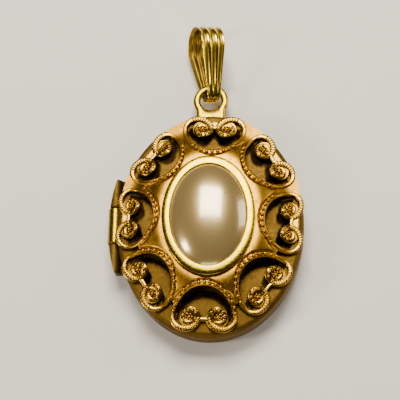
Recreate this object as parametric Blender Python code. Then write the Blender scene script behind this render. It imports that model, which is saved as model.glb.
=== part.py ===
"""Oval hinged locket pendant with an openwork front, a pearl cabochon and a fluted bail.

The locket lies on its back: +Z is the front face, +Y points to the ring and bail, and the hinge is
at -X. The origin is the centre of the back's flat field, on the surface that the locket lies on.
"""
from math import asin, cos, pi, radians, sin, sqrt, tan

import bmesh
import bpy
from mathutils import Matrix, Vector

MM = 0.001

# Case: two oval pans that close at the seam
CASE_A = 11.5 * MM              # half width of the closed case
CASE_B = 14.5 * MM              # half height
WALL = 0.45 * MM                # sheet of both pans
SEAM_Z = 2.6 * MM               # height of the seam
SEAM_GAP = 0.06 * MM            # opening left between the two rims
BACK_EDGE_INSET = 1.8 * MM      # how far the back's rounded edge reaches in
BACK_EDGE_RISE = 1.6 * MM
SHOULDER_INSET = 0.7 * MM       # rounded shoulder of the front pan
SHOULDER_RISE = 0.7 * MM
FRONT_WALL = 0.6 * MM           # straight wall of the front pan above the seam
FRONT_CROWN = 0.45 * MM         # rise of the front plate from its shoulder to its middle
FIT = 0.04 * MM                 # gap between pieces that are soldered or pressed together
RUNNING = 0.05 * MM             # gap between pieces that turn on each other
SEGMENTS = 64                   # sides of the case's ovals
INNER_SEGMENTS = 48             # sides of the smaller ovals

# Snap rim: the band inside the seam that the front pan clicks over
SNAP_THICKNESS = 0.35 * MM
SNAP_BELOW_SHOULDER = 0.03 * MM  # the band ends this far below the top of the straight wall
SNAP_BELOW = 0.85 * MM

# Photo frames, windows and cards
CARD = 0.18 * MM
WINDOW = 0.2 * MM
FRAME_SHEET = 0.24 * MM
FRAME_SKIRT = 0.72 * MM         # height of the back frame
FRONT_FRAME_SKIRT = 0.45 * MM   # height of the front frame
FRAME_LIP = 1.8 * MM            # width of the ring that shows
LID_FRAME_CLEARANCE = 0.25 * MM  # room that the front frame needs as it swings past the snap rim

# Openwork dome: eight arched medallions pierced in one stamping
DOME_THICKNESS = 0.4 * MM
DOME_RISE = 1.8 * MM            # from the dome's foot to the seat of the bezel
DOME_SET_IN = 0.3 * MM          # dome's foot inside the case's outline, at the sides
DOME_SET_IN_ENDS = 0.7 * MM     # and at the top and bottom
DOME_TURN = radians(-3.0)       # the stamping is soldered on slightly turned
MEDALLION_SET_IN = 1.45 * MM    # the medallions' centres inside the dome's foot, at the sides
MEDALLION_SET_IN_ENDS = 1.6 * MM
MEDALLION_ANGLES = (90.0, 41.6, 0.0, -41.6, -90.0, -138.4, 180.0, 138.4)
ARCH_HALF_WIDTH = 3.75 * MM     # centre line of an arch's beads
ARCH_HEIGHT_SIDE = 3.35 * MM
ARCH_HEIGHT_DIAGONAL = 3.6 * MM
ARCH_HEIGHT_END = 3.85 * MM
BEAD_RADIUS = 0.24 * MM
ARCH_BAND = 0.5 * MM            # from the beads' centre line to the pierced opening
VOLUTE_SPACING = 1.8 * MM       # a volute's centre from the middle of its medallion
VOLUTE_RADIUS = 1.28 * MM
VOLUTE_FOOT = 1.5 * MM          # how far a medallion reaches past its centre
NOTCH_START = 22.0              # degrees above the medallion's centre line

# Pearl and its bezel
PEARL_A = 5.0 * MM              # 10 x 14 mm oval cabochon
PEARL_B = 7.0 * MM
PEARL_GIRDLE = 0.3 * MM
PEARL_DOME = 2.5 * MM
PEARL_BELOW_SEAT = 0.75 * MM    # flat back of the pearl below the dome's seat
BEZEL_FLANGE = 0.4 * MM         # how far the bezel's flange rests on the dome
BEZEL_HEIGHT = 0.62 * MM        # crest above the dome's seat
BEZEL_WALL = 0.2 * MM
BEZEL_LEDGE = 0.8 * MM
BEZEL_LEDGE_SHEET = 0.3 * MM

# Hinge along the left edge
HINGE_OUT = 0.35 * MM           # axis outside the case's outline
KNUCKLE_RADIUS = 0.85 * MM
MIDDLE_KNUCKLE = 4.6 * MM       # length
OUTER_KNUCKLE = 3.7 * MM        # length
KNUCKLE_END_GAP = 0.1 * MM
PIN_RADIUS = 0.25 * MM
PIN_BITE = 1.45 * MM            # how far the pin reaches into each outer knuckle
TRIM_MARGIN_A = 1.1 * MM        # the outer knuckles are filed to an oval this far outside the case
TRIM_MARGIN_B = 1.4 * MM
KNUCKLE_SIDES = 24

# Suspension ring on the case's top edge
RING_CENTRE = 2.9 * MM          # beyond the case's top edge
RING_OUTER = 2.28 * MM
RING_HOLE = 1.35 * MM
RING_THICKNESS = 0.8 * MM
RING_DROP = 0.6 * MM            # middle of the ring below the seam
RING_FOOT = 1.68 * MM           # half width of the foot at the case
RING_SIDES = 36

# Bail: a tapered band folded into a loop through the ring
BAIL_LENGTH = 10.4 * MM
BAIL_TOP_RADIUS = 2.9 * MM      # outside of the wide end's bend
BAIL_FOOT_RADIUS = 1.25 * MM    # outside of the bend inside the ring
BAIL_SHEET = 0.3 * MM
BAIL_TOP_WIDTH = 3.2 * MM
BAIL_FOOT_WIDTH = 1.45 * MM
BAIL_TAPER = 7.8 * MM           # length over which it widens
BAIL_PIVOT_INSIDE = 0.42 * MM   # swing axis below the middle of the ring's arc
BAIL_FOOT_BELOW_PIVOT = 0.4 * MM
BAIL_FOOT_LIFT = 0.1 * MM
BAIL_TWIST = radians(22.0)      # about the bail's length, as it rests
BAIL_LEAN = radians(5.0)        # to the left
BAIL_PITCH = radians(12.0)      # wide end up
BAIL_BEND_STEPS = 12

# Heights that follow
FRONT_WALL_TOP = SEAM_Z + SEAM_GAP / 2 + FRONT_WALL
FRONT_PLATE_Z = FRONT_WALL_TOP + SHOULDER_RISE
DOME_FOOT_Z = FRONT_PLATE_Z + FIT + DOME_THICKNESS
DOME_SEAT_Z = DOME_FOOT_Z + DOME_RISE
DOME_OUTER_A = CASE_A - DOME_SET_IN
DOME_OUTER_B = CASE_B - DOME_SET_IN_ENDS
COLLET_A = PEARL_A + FIT + BEZEL_WALL
COLLET_B = PEARL_B + FIT + BEZEL_WALL
DOME_INNER_A = COLLET_A + FIT
DOME_INNER_B = COLLET_B + FIT
MEDALLION_A = DOME_OUTER_A - MEDALLION_SET_IN
MEDALLION_B = DOME_OUTER_B - MEDALLION_SET_IN_ENDS
HINGE_X = -CASE_A - HINGE_OUT
RING_Y = CASE_B + RING_CENTRE
RING_Z = SEAM_Z - RING_DROP
BAIL_PIVOT_Y = RING_Y + (RING_OUTER + RING_HOLE) / 2 - BAIL_PIVOT_INSIDE


def clear_scene():
    for old in list(bpy.data.objects):
        bpy.data.objects.remove(old, do_unlink=True)


def new_collection(name):
    collection = bpy.data.collections.new(name)
    bpy.context.scene.collection.children.link(collection)
    return collection


def add_object(name, mesh, collection):
    piece = bpy.data.objects.new(name, mesh)
    collection.objects.link(piece)
    return piece


def add_cutter(name, mesh, collection):
    cutter = add_object(name, mesh, collection)
    cutter.hide_render = True
    cutter.display_type = "WIRE"
    return cutter


def material(name, colour, metallic, roughness):
    made = bpy.data.materials.new(name)
    made.use_nodes = True
    shader = made.node_tree.nodes["Principled BSDF"]
    shader.inputs["Base Color"].default_value = (*colour, 1.0)
    shader.inputs["Metallic"].default_value = metallic
    shader.inputs["Roughness"].default_value = roughness
    return made


def finish(piece, look, smooth_angle=35.0):
    piece.data.materials.append(look)
    piece.data.shade_smooth()
    piece.data.set_sharp_from_angle(angle=radians(smooth_angle))
    return piece


def boolean(target, cutter, operation):
    step = target.modifiers.new(f"{operation.lower()} {cutter.name}", "BOOLEAN")
    step.operation = operation
    step.solver = "EXACT"
    step.object = cutter
    return step


def boolean_all(target, cutters):
    step = target.modifiers.new(f"cut {cutters.name}", "BOOLEAN")
    step.operation = "DIFFERENCE"
    step.solver = "EXACT"
    step.operand_type = "COLLECTION"
    step.collection = cutters
    return step


def mesh_from(name, bm):
    bmesh.ops.recalc_face_normals(bm, faces=bm.faces)
    mesh = bpy.data.meshes.new(name)
    bm.to_mesh(mesh)
    bm.free()
    return mesh


def oval_loft(name, rings, hollow=False, segments=SEGMENTS):
    """A solid through a list of ovals (half width, half height, z), in order along its section.

    A hollow solid's section is a closed loop; otherwise the first and last ovals are filled.
    """
    bm = bmesh.new()
    turns = [2 * pi * i / segments for i in range(segments)]
    loops = [[bm.verts.new((a * cos(t), b * sin(t), z)) for t in turns] for a, b, z in rings]
    following = loops[1:] + loops[:1] if hollow else loops[1:]
    for low, high in zip(loops, following):
        for i in range(segments):
            j = (i + 1) % segments
            bm.faces.new((low[i], low[j], high[j], high[i]))
    if not hollow:
        bm.faces.new(loops[0])
        bm.faces.new(loops[-1])
    return mesh_from(name, bm)


def prism(name, outlines, z_low, z_high):
    """An upright solid on flat outlines of (x, y) points: the first is the edge, others are holes."""
    curve = bpy.data.curves.new(name, "CURVE")
    curve.dimensions = "2D"
    curve.fill_mode = "BOTH"
    curve.extrude = (z_high - z_low) / 2
    for outline in outlines:
        spline = curve.splines.new("POLY")
        spline.points.add(len(outline) - 1)
        for point, (x, y) in zip(spline.points, outline):
            point.co = (x, y, 0.0, 1.0)
        spline.use_cyclic_u = True
    holder = bpy.data.objects.new(name, curve)
    bpy.context.scene.collection.objects.link(holder)
    bpy.context.view_layer.update()
    evaluated = holder.evaluated_get(bpy.context.evaluated_depsgraph_get())
    mesh = bpy.data.meshes.new_from_object(evaluated)
    bpy.data.objects.remove(holder)
    bpy.data.curves.remove(curve)
    bm = bmesh.new()
    bm.from_mesh(mesh)
    bmesh.ops.remove_doubles(bm, verts=bm.verts, dist=0.001 * MM)
    bmesh.ops.translate(bm, verts=bm.verts, vec=(0.0, 0.0, (z_low + z_high) / 2))
    bmesh.ops.recalc_face_normals(bm, faces=bm.faces)
    bm.to_mesh(mesh)
    bm.free()
    mesh.name = name
    return mesh


def rod_y(name, radius, y_low, y_high, x, z, sides=KNUCKLE_SIDES):
    """A cylinder along Y."""
    bm = bmesh.new()
    lie = Matrix.Rotation(pi / 2, 4, "X")
    place = Matrix.Translation((x, (y_low + y_high) / 2, z))
    bmesh.ops.create_cone(bm, cap_ends=True, segments=sides, radius1=radius, radius2=radius,
                          depth=y_high - y_low, matrix=place @ lie)
    return mesh_from(name, bm)


def box(name, low, high):
    bm = bmesh.new()
    size = Vector(high) - Vector(low)
    place = Matrix.Translation((Vector(low) + Vector(high)) / 2) @ Matrix.Diagonal((*size, 1.0))
    bmesh.ops.create_cube(bm, size=1.0, matrix=place)
    return mesh_from(name, bm)


def oval_points(a, b, count):
    return [(a * cos(2 * pi * i / count), b * sin(2 * pi * i / count)) for i in range(count)]


def inset_ring(inset, z):
    """The case's outline moved in by inset, at height z."""
    return (CASE_A - inset, CASE_B - inset, z)


# ---------------------------------------------------------------- back half

def back_shell(parts, look):
    """A pan with a flat field and a rounded edge."""
    steps = [radians(90 * i / 4) for i in range(5)]
    outside = [inset_ring(BACK_EDGE_INSET * (1 - sin(t)), BACK_EDGE_RISE * (1 - cos(t)))
               for t in steps]
    top = SEAM_Z - SEAM_GAP / 2
    reach = BACK_EDGE_INSET - WALL
    rise = BACK_EDGE_RISE - WALL
    inside = [inset_ring(WALL + reach * (1 - sin(t)), WALL + rise * (1 - cos(t)))
              for t in reversed(steps)]
    rings = outside + [inset_ring(0.0, top), inset_ring(WALL, top)] + inside
    return finish(add_object("back_shell", oval_loft("back_shell", rings), parts), look)


def snap_rim(parts, look):
    """An upright band inside the seam, standing above it for the front pan to click over."""
    outer = WALL + FIT
    inner = outer + SNAP_THICKNESS
    low = SEAM_Z - SNAP_BELOW
    high = FRONT_WALL_TOP - SNAP_BELOW_SHOULDER
    rings = [inset_ring(outer, low), inset_ring(outer, high), inset_ring(inner, high),
             inset_ring(inner, low)]
    mesh = oval_loft("snap_rim", rings, hollow=True)
    return finish(add_object("snap_rim", mesh, parts), look)


def back_photo_set(parts, looks):
    """The card on the pan's floor, the window on it, and the frame that holds them."""
    edge = BACK_EDGE_INSET + FIT
    card_z = WALL + FIT
    card = oval_loft("back_photo_card", [inset_ring(edge, card_z), inset_ring(edge, card_z + CARD)],
                     segments=INNER_SEGMENTS)
    window_z = card_z + CARD + FIT
    window = oval_loft("back_photo_window", [inset_ring(edge, window_z),
                                             inset_ring(edge, window_z + WINDOW)],
                       segments=INNER_SEGMENTS)
    frame_z = window_z + WINDOW + FIT
    outer = WALL + FIT + SNAP_THICKNESS + FIT
    skirt = outer + FRAME_SHEET
    lip = outer + FRAME_LIP
    top = frame_z + FRAME_SKIRT
    rings = [inset_ring(outer, frame_z), inset_ring(outer, top), inset_ring(skirt, top),
             inset_ring(skirt, frame_z + FRAME_SHEET), inset_ring(lip, frame_z + FRAME_SHEET),
             inset_ring(lip, frame_z)]
    frame = oval_loft("back_photo_frame", rings, hollow=True, segments=INNER_SEGMENTS)
    finish(add_object("back_photo_card", card, parts), looks["card"])
    finish(add_object("back_photo_window", window, parts), looks["window"])
    finish(add_object("back_photo_frame", frame, parts), looks["brass"])


def suspension_ring(parts, cutters, look):
    """A round-edged flat ring with a foot that is soldered to the back pan's top edge."""
    bm = bmesh.new()
    section = bmesh.ops.create_circle(bm, segments=10, radius=1.0)["verts"]
    middle = (RING_OUTER + RING_HOLE) / 2
    squeeze = Matrix.Diagonal(((RING_OUTER - RING_HOLE) / 2, 1.0, RING_THICKNESS / 2, 1.0))
    upright = Matrix.Rotation(pi / 2, 4, "X")
    bmesh.ops.transform(bm, matrix=Matrix.Translation((middle, 0.0, 0.0)) @ squeeze @ upright,
                        verts=section)
    bmesh.ops.spin(bm, geom=section + list(bm.edges), cent=(0.0, 0.0, 0.0), axis=(0.0, 0.0, 1.0),
                   angle=2 * pi, steps=RING_SIDES, use_merge=True)
    bmesh.ops.translate(bm, verts=bm.verts, vec=(0.0, RING_Y, RING_Z))
    piece = add_object("suspension_ring", mesh_from("suspension_ring", bm), parts)

    half = RING_THICKNESS / 2 - FIT
    shoulder = RING_OUTER * 0.86
    foot_points = [(-RING_FOOT, CASE_B - WALL), (RING_FOOT, CASE_B - WALL),
                   (shoulder, RING_Y - RING_OUTER * 0.5), (-shoulder, RING_Y - RING_OUTER * 0.5)]
    foot = add_cutter("ring_foot", prism("ring_foot", [foot_points], RING_Z - half, RING_Z + half),
                      cutters)
    boolean(piece, foot, "UNION")
    hole_points = [(x, y + RING_Y) for x, y in oval_points(RING_HOLE, RING_HOLE, RING_SIDES)]
    hole = add_cutter("ring_hole", prism("ring_hole", [hole_points], RING_Z - RING_THICKNESS,
                                         RING_Z + RING_THICKNESS), cutters)
    boolean(piece, hole, "DIFFERENCE")
    case = add_cutter("ring_case_relief", oval_loft("ring_case_relief", [
        (CASE_A + FIT, CASE_B + FIT, 0.0), (CASE_A + FIT, CASE_B + FIT, 2 * SEAM_Z)]), cutters)
    boolean(piece, case, "DIFFERENCE")
    return finish(piece, look)


# ---------------------------------------------------------------- hinge

def outer_knuckle(name, side, parts, cutters, look):
    """A knuckle of the back half: a tube with a lug to the case, filed to follow the outline."""
    inner_end = MIDDLE_KNUCKLE / 2 + KNUCKLE_END_GAP
    outer_end = inner_end + OUTER_KNUCKLE
    low, high = sorted((side * inner_end, side * outer_end))
    tube = rod_y(name, KNUCKLE_RADIUS, low, high, HINGE_X, SEAM_Z)
    piece = add_object(name, tube, parts)

    lug_top = SEAM_Z - SEAM_GAP
    lug_low = SEAM_Z - KNUCKLE_RADIUS * 0.9
    lug = add_cutter(f"{name}_lug", box(f"{name}_lug", (HINGE_X, low, lug_low),
                                        (-CASE_A * 0.8, high, lug_top)), cutters)
    case = add_cutter(f"{name}_case", oval_loft(f"{name}_case", [
        (CASE_A + FIT, CASE_B + FIT, -SEAM_Z), (CASE_A + FIT, CASE_B + FIT, 2 * SEAM_Z)]), cutters)
    boolean(lug, case, "DIFFERENCE")
    boolean(piece, lug, "UNION")

    trim = add_cutter(f"{name}_trim", oval_loft(f"{name}_trim", [
        (CASE_A + TRIM_MARGIN_A, CASE_B + TRIM_MARGIN_B, -SEAM_Z),
        (CASE_A + TRIM_MARGIN_A, CASE_B + TRIM_MARGIN_B, 3 * SEAM_Z)]), cutters)
    boolean(piece, trim, "INTERSECT")

    bore_end = inner_end + PIN_BITE + FIT
    bore_low, bore_high = sorted((side * (inner_end - KNUCKLE_RADIUS), side * bore_end))
    bore = add_cutter(f"{name}_bore", rod_y(f"{name}_bore", PIN_RADIUS + RUNNING, bore_low,
                                            bore_high, HINGE_X, SEAM_Z, sides=16), cutters)
    boolean(piece, bore, "DIFFERENCE")
    return finish(piece, look)


def middle_knuckle(parts, cutters, look):
    """The front half's knuckle, a plain tube."""
    half = MIDDLE_KNUCKLE / 2
    mesh = rod_y("hinge_knuckle_middle", KNUCKLE_RADIUS, -half, half, HINGE_X, SEAM_Z)
    piece = add_object("hinge_knuckle_middle", mesh, parts)
    bore = add_cutter("middle_bore", rod_y("middle_bore", PIN_RADIUS + RUNNING, -half * 1.5,
                                           half * 1.5, HINGE_X, SEAM_Z, sides=16), cutters)
    boolean(piece, bore, "DIFFERENCE")
    return finish(piece, look)


def hinge_pin(parts, look):
    reach = MIDDLE_KNUCKLE / 2 + KNUCKLE_END_GAP + PIN_BITE
    mesh = rod_y("hinge_pin", PIN_RADIUS, -reach, reach, HINGE_X, SEAM_Z, sides=16)
    return finish(add_object("hinge_pin", mesh, parts), look)


def seat_for_hinge(pieces, cutters):
    """The groove along the case's left edge that the knuckles lie in."""
    reach = MIDDLE_KNUCKLE / 2 + KNUCKLE_END_GAP + OUTER_KNUCKLE + RUNNING
    groove = add_cutter("hinge_groove", rod_y("hinge_groove", KNUCKLE_RADIUS + RUNNING, -reach,
                                              reach, HINGE_X, SEAM_Z), cutters)
    for piece in pieces:
        boolean(piece, groove, "DIFFERENCE")


# ---------------------------------------------------------------- front half

def front_shell(parts, look):
    """A shallow pan upside down: a straight wall, a rounded shoulder and a slightly crowned plate."""
    low = SEAM_Z + SEAM_GAP / 2
    wall_top = FRONT_WALL_TOP
    steps = [radians(90 * i / 3) for i in range(4)]

    def plate_rings(start_inset, start_z):
        span = CASE_A - start_inset
        shares = (0.35, 0.75)
        return [inset_ring(start_inset + span * share, start_z + FRONT_CROWN * sin(share * pi / 2))
                for share in shares]

    outside = [inset_ring(SHOULDER_INSET * (1 - cos(t)), wall_top + SHOULDER_RISE * sin(t))
               for t in steps]
    outside += plate_rings(SHOULDER_INSET, FRONT_PLATE_Z)
    # the inside keeps the sheet's thickness, so its wall stays straight as high as the outside's
    inside = [inset_ring(WALL + (SHOULDER_INSET - WALL) * (1 - cos(t)),
                         wall_top + (SHOULDER_RISE - WALL) * sin(t)) for t in steps]
    inside += plate_rings(SHOULDER_INSET, FRONT_PLATE_Z - WALL)
    rings = list(reversed(inside)) + [inset_ring(WALL, low), inset_ring(0.0, low)] + outside
    return finish(add_object("front_shell", oval_loft("front_shell", rings), parts), look)


def front_photo_set(parts, looks):
    """The lid's card, window and frame, which face down into the closed locket."""
    ceiling = FRONT_PLATE_Z - WALL
    outer = WALL + FIT + SNAP_THICKNESS + LID_FRAME_CLEARANCE
    edge = outer + FRAME_SHEET + FIT
    card_top = ceiling - FIT
    card = oval_loft("front_photo_card", [inset_ring(edge, card_top - CARD),
                                          inset_ring(edge, card_top)], segments=INNER_SEGMENTS)
    window_top = card_top - CARD - FIT
    window = oval_loft("front_photo_window", [inset_ring(edge, window_top - WINDOW),
                                              inset_ring(edge, window_top)],
                       segments=INNER_SEGMENTS)
    top = window_top - WINDOW - FIT
    low = top - FRONT_FRAME_SKIRT
    skirt = outer + FRAME_SHEET
    lip = outer + FRAME_LIP
    rings = [inset_ring(outer, top), inset_ring(outer, low), inset_ring(skirt, low),
             inset_ring(skirt, top - FRAME_SHEET), inset_ring(lip, top - FRAME_SHEET),
             inset_ring(lip, top)]
    frame = oval_loft("front_photo_frame", rings, hollow=True, segments=INNER_SEGMENTS)
    finish(add_object("front_photo_card", card, parts), looks["card"])
    finish(add_object("front_photo_window", window, parts), looks["window"])
    finish(add_object("front_photo_frame", frame, parts), looks["brass"])


def dome_height(share):
    """Height of the dome's top at a share of the way from its seat (0) to its foot (1)."""
    fall = min(max((share - 0.1) / 0.8, 0.0), 1.0)
    return DOME_FOOT_Z + DOME_RISE * 0.5 * (1 + cos(pi * fall))


def medallion_place(index):
    """Centre, direction along the edge and direction outward of one medallion, in plan."""
    t = radians(MEDALLION_ANGLES[index])
    turn = Matrix.Rotation(DOME_TURN, 2)
    centre = turn @ Vector((MEDALLION_A * cos(t), MEDALLION_B * sin(t)))
    outward = turn @ Vector((cos(t) / MEDALLION_A, sin(t) / MEDALLION_B)).normalized()
    along = Vector((outward.y, -outward.x))
    return centre, along, outward


def arch_height(index):
    return (ARCH_HEIGHT_END, ARCH_HEIGHT_DIAGONAL, ARCH_HEIGHT_SIDE, ARCH_HEIGHT_DIAGONAL)[index % 4]


def placed(index, points):
    centre, along, outward = medallion_place(index)
    return [tuple(centre + along * u + outward * w) for u, w in points]


def opening_outline(index):
    """The pierced opening of a medallion: under the arch and over its two volutes."""
    half = ARCH_HALF_WIDTH - ARCH_BAND
    height = arch_height(index) - ARCH_BAND
    arch = [(half * cos(radians(t)), -height * sin(radians(t))) for t in range(6, 175, 14)]
    left = [(-VOLUTE_SPACING + VOLUTE_RADIUS * cos(radians(t)), -VOLUTE_RADIUS * sin(radians(t)))
            for t in range(170, 20, -30)]
    right = [(-u, w) for u, w in reversed(left)]
    return placed(index, arch + left + right)


def notch_outline(index):
    """The gap between a medallion and the next one round, open to the dome's edge."""
    following = (index + 1) % len(MEDALLION_ANGLES)
    half = ARCH_HALF_WIDTH + BEAD_RADIUS

    def flank(which, side):
        above = arch_height(which) + BEAD_RADIUS
        angles = [NOTCH_START - 14.0 * i for i in range(7)]
        points = [(side * half * cos(radians(t)),
                   -(above if t > 0 else VOLUTE_FOOT) * sin(radians(t))) for t in angles]
        points.append((side * half * 0.45, 3 * VOLUTE_FOOT))
        return placed(which, points)

    return flank(index, 1) + list(reversed(flank(following, -1)))


def openwork_dome(parts, cutters, look):
    """A domed oval sheet, open in the middle for the bezel, pierced and notched all round."""
    shares = (0.0, 0.16, 0.32, 0.48, 0.64, 0.8, 1.0)

    def rings(drop):
        return [(DOME_INNER_A + share * (DOME_OUTER_A - DOME_INNER_A),
                 DOME_INNER_B + share * (DOME_OUTER_B - DOME_INNER_B),
                 dome_height(share) - drop) for share in shares]

    section = rings(0.0) + list(reversed(rings(DOME_THICKNESS)))
    piece = add_object("openwork_dome", oval_loft("openwork_dome", section, hollow=True), parts)
    pierced = bpy.data.collections.new("openwork_piercings")
    cutters.children.link(pierced)
    low = DOME_FOOT_Z - 2 * DOME_THICKNESS
    high = DOME_SEAT_Z + DOME_THICKNESS
    for index in range(len(MEDALLION_ANGLES)):
        for kind, outline in (("opening", opening_outline(index)), ("notch", notch_outline(index))):
            name = f"{kind}_{index + 1}"
            add_cutter(name, prism(name, [outline], low, high), pierced)
    boolean_all(piece, pierced)
    return finish(piece, look)


def pearl_share(z):
    """Size of the pearl at height z, as a share of its girdle."""
    lift = (z - pearl_girdle_top()) / PEARL_DOME
    return sqrt(1 - lift * lift) if lift > 0 else 1.0


def pearl_back_z():
    return DOME_SEAT_Z - PEARL_BELOW_SEAT


def pearl_girdle_top():
    return pearl_back_z() + PEARL_GIRDLE


def pearl_cabochon(parts, look):
    """An oval cabochon: a flat back, a short girdle and an elliptic dome."""
    back = pearl_back_z()
    edge = 0.1 * MM
    rings = [(PEARL_A - edge, PEARL_B - edge, back), (PEARL_A, PEARL_B, back + edge)]
    for t in (0, 14, 28, 42, 56, 70, 80):
        share = cos(radians(t))
        rings.append((PEARL_A * share, PEARL_B * share,
                      pearl_girdle_top() + PEARL_DOME * sin(radians(t))))
    top = PEARL_A * 0.03
    rings.append((top, top * PEARL_B / PEARL_A, pearl_girdle_top() + PEARL_DOME))
    mesh = oval_loft("pearl_cabochon", rings, segments=INNER_SEGMENTS)
    return finish(add_object("pearl_cabochon", mesh, parts), look, smooth_angle=50.0)


def pearl_bezel(parts, look):
    """A collet with a ledge under the pearl, a flange on the dome and a lip turned over the pearl."""
    seat = DOME_SEAT_Z + FIT
    crest = DOME_SEAT_Z + BEZEL_HEIGHT
    ledge_top = pearl_back_z() - FIT
    ledge_low = ledge_top - BEZEL_LEDGE_SHEET
    flange = BEZEL_FLANGE

    def around(grow, z):
        return (PEARL_A + grow, PEARL_B + grow, z)

    def beside_pearl(z):
        share = pearl_share(z)
        return (PEARL_A * share + FIT, PEARL_B * share + FIT, z)

    wall = FIT + BEZEL_WALL
    foot = wall + flange
    lip_z = crest - 0.05 * MM
    lip = beside_pearl(lip_z)
    rings = [
        around(-BEZEL_LEDGE, ledge_low), around(wall, ledge_low), around(wall, seat),
        around(foot, seat), around(foot, crest - 0.14 * MM), around(foot - 0.12 * MM, crest - 0.04 * MM),
        around(foot - 0.4 * MM, crest), (lip[0] + 0.12 * MM, lip[1] + 0.12 * MM, crest + 0.01 * MM),
        lip, beside_pearl(crest - 0.35 * MM), around(FIT, pearl_girdle_top()),
        around(FIT, ledge_top), around(-BEZEL_LEDGE, ledge_top)]
    mesh = oval_loft("pearl_bezel", rings, hollow=True, segments=INNER_SEGMENTS)
    return finish(add_object("pearl_bezel", mesh, parts), look)


# ---------------------------------------------------------------- bail

def bail_profile(top_radius, foot_radius, centres):
    """The bail seen from the side: a round wide end and a round foot joined by straight leaves."""
    lean = asin((top_radius - foot_radius) / centres)
    start = -lean
    sweep = pi + 2 * lean
    top = [(top_radius * cos(start + sweep * i / BAIL_BEND_STEPS),
            centres + top_radius * sin(start + sweep * i / BAIL_BEND_STEPS))
           for i in range(BAIL_BEND_STEPS + 1)]
    foot_start = pi + lean
    foot_sweep = pi - 2 * lean
    foot = [(foot_radius * cos(foot_start + foot_sweep * i / BAIL_BEND_STEPS),
             foot_radius * sin(foot_start + foot_sweep * i / BAIL_BEND_STEPS))
            for i in range(BAIL_BEND_STEPS + 1)]
    return top + foot


def bail(parts, cutters, look):
    """A closed loop of sheet, wide at the chain end and narrow in the ring, as it rests."""
    centres = BAIL_LENGTH - BAIL_TOP_RADIUS - BAIL_FOOT_RADIUS
    outer = bail_profile(BAIL_TOP_RADIUS, BAIL_FOOT_RADIUS, centres)
    inner = bail_profile(BAIL_TOP_RADIUS - BAIL_SHEET, BAIL_FOOT_RADIUS - BAIL_SHEET, centres)
    half = BAIL_TOP_WIDTH / 2
    mesh = prism("bail", [outer, inner], -half, half)
    # the profile's depth becomes Z and its thickness X
    stand = Matrix.Rotation(pi / 2, 4, "Y")
    mesh.transform(stand)
    piece = add_object("bail", mesh, parts)

    foot_half = BAIL_FOOT_WIDTH / 2
    foot_y = -BAIL_FOOT_RADIUS - BAIL_SHEET
    full_y = foot_y + BAIL_TAPER
    end_y = BAIL_LENGTH
    full_half = half + BAIL_SHEET
    full_width_y = foot_y + BAIL_TAPER * (full_half - foot_half) / (half - foot_half)
    taper_points = [(-foot_half, foot_y), (foot_half, foot_y), (full_half, full_width_y),
                    (full_half, end_y + full_y), (-full_half, end_y + full_y),
                    (-full_half, full_width_y)]
    taper = add_cutter("bail_taper", prism("bail_taper", [taper_points], -BAIL_LENGTH / 2,
                                           BAIL_LENGTH / 2), cutters)
    boolean(piece, taper, "INTERSECT")

    swing = bpy.data.objects.new("bail_swing_axis", None)
    parts.objects.link(swing)
    swing.location = (0.0, BAIL_PIVOT_Y, RING_Z)
    lay = (Matrix.Rotation(BAIL_LEAN, 4, "Z") @ Matrix.Rotation(BAIL_PITCH, 4, "X")
           @ Matrix.Rotation(BAIL_TWIST, 4, "Y"))
    foot = Matrix.Translation((0.0, -BAIL_FOOT_BELOW_PIVOT,
                               BAIL_FOOT_LIFT - BAIL_FOOT_BELOW_PIVOT * tan(BAIL_PITCH)))
    for held in (piece, taper):
        held.parent = swing
        held.matrix_local = foot @ lay
    return finish(piece, look)


def build():
    clear_scene()
    parts = new_collection("oval_locket_pendant")
    cutters = new_collection("cutters")
    looks = {
        "antique_gold": material("antique_gold", (0.42, 0.24, 0.07), 1.0, 0.45),
        "case_gold": material("case_gold", (0.36, 0.22, 0.08), 1.0, 0.4),
        "polished_gold": material("polished_gold", (0.85, 0.55, 0.16), 1.0, 0.2),
        "brass": material("brass", (0.75, 0.52, 0.22), 1.0, 0.3),
        "steel_pin": material("steel_pin", (0.5, 0.48, 0.45), 1.0, 0.35),
        "pearl": material("pearl", (0.72, 0.64, 0.48), 0.0, 0.2),
        "window": material("window", (0.9, 0.92, 0.9), 0.0, 0.08),
        "card": material("card", (0.8, 0.78, 0.7), 0.0, 0.8),
    }
    back = back_shell(parts, looks["case_gold"])
    rim = snap_rim(parts, looks["brass"])
    back_photo_set(parts, looks)
    suspension_ring(parts, cutters, looks["brass"])
    outer_knuckle("hinge_knuckle_top", 1, parts, cutters, looks["case_gold"])
    outer_knuckle("hinge_knuckle_bottom", -1, parts, cutters, looks["case_gold"])
    hinge_pin(parts, looks["steel_pin"])
    front = front_shell(parts, looks["case_gold"])
    front_photo_set(parts, looks)
    openwork_dome(parts, cutters, looks["antique_gold"])
    pearl_bezel(parts, looks["polished_gold"])
    pearl_cabochon(parts, looks["pearl"])
    middle_knuckle(parts, cutters, looks["brass"])
    seat_for_hinge((back, rim, front), cutters)
    bail(parts, cutters, looks["polished_gold"])


build()
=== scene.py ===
from math import asin, cos, pi, radians, sin, sqrt, tan

import bmesh
import bpy
import numpy as np
from mathutils import Matrix, Vector


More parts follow.
